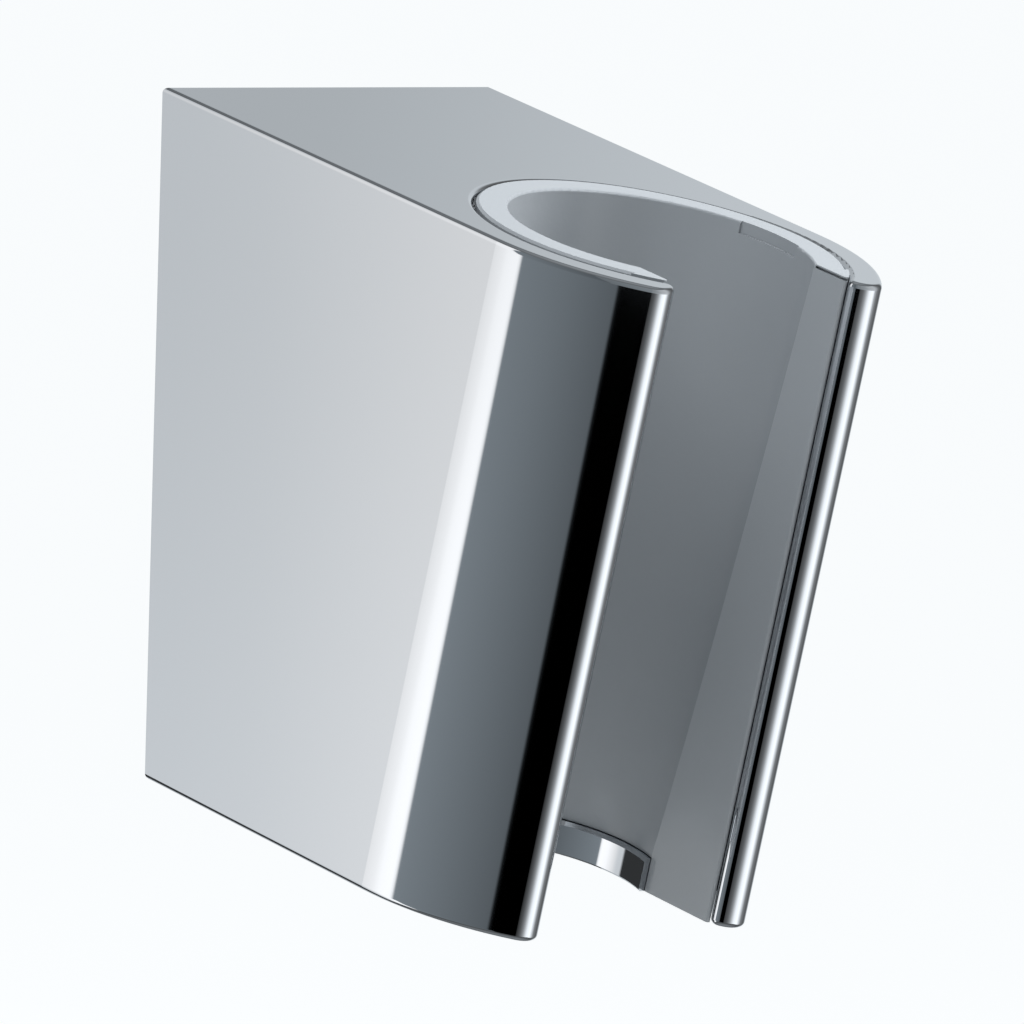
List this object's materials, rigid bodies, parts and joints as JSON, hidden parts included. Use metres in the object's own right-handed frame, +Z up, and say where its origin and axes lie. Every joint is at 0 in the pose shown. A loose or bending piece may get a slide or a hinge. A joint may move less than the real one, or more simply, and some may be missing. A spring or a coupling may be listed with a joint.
{
  "type": "hand shower holder",
  "caption": "Wall holder for a hand shower: a leaning chrome housing with an open-fronted conical seat lined in grey plastic.",
  "frame": {"origin": "middle of the back, on the wall plane, half way between the two wall screw holes", "axes": "+Y points into the wall, -Y into the room, +Z up, +X along the wall"},
  "size_m": [0.036, 0.0526, 0.0662],
  "materials": {
    "chrome_plating": "polished chrome plating",
    "liner_plastic": "satin moulded, light grey",
    "bracket_plastic": "moulded, glass-filled, dark grey",
    "insert_brass": "turned brass",
    "screw_steel": "stainless steel"
  },
  "bodies": {
    "root": {"housing": "chrome_plating", "seat_liner": "liner_plastic", "wall_plate": "bracket_plastic", "thread_insert": "insert_brass", "lock_screw": "screw_steel"}
  },
  "joints": []
}
